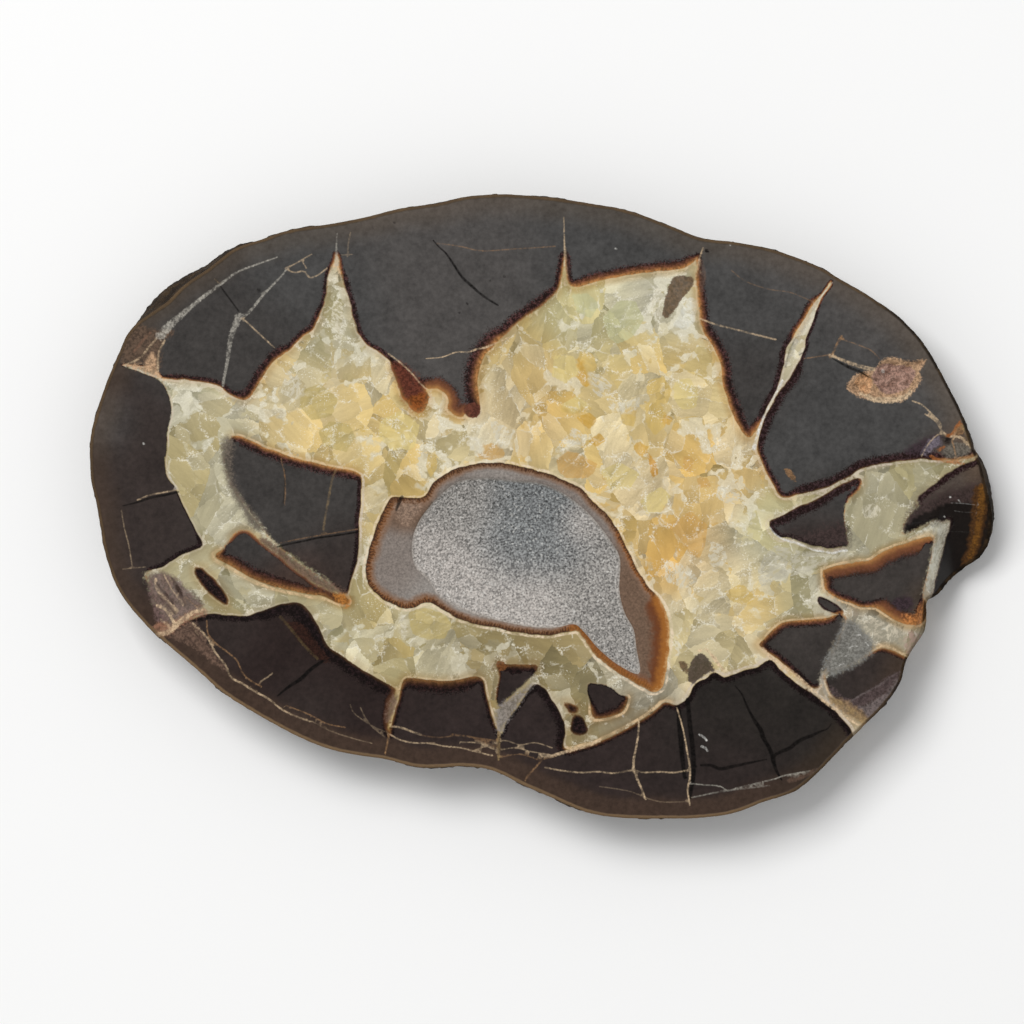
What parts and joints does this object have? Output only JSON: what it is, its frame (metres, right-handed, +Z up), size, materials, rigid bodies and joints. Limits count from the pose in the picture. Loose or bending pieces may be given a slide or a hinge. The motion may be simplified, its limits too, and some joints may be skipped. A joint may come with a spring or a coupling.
{
  "type": "septarian nodule slab",
  "caption": "Slab sawn from a septarian nodule: dark mudstone with yellow calcite veins, polished on its face, with a shallow crystal-lined hollow.",
  "frame": {"origin": "middle of the slab's box, on its sawn back", "axes": "+X along the slab's length, +Y across it, +Z up out of the polished face"},
  "size_m": [0.1248, 0.0862, 0.01],
  "materials": {
    "stone": "polished mudstone and calcite, with a rough rind round the edge",
    "crystals": "fine sparkling crystal crust"
  },
  "bodies": {
    "root": {"nodule": "stone", "druse": "crystals"}
  },
  "joints": []
}
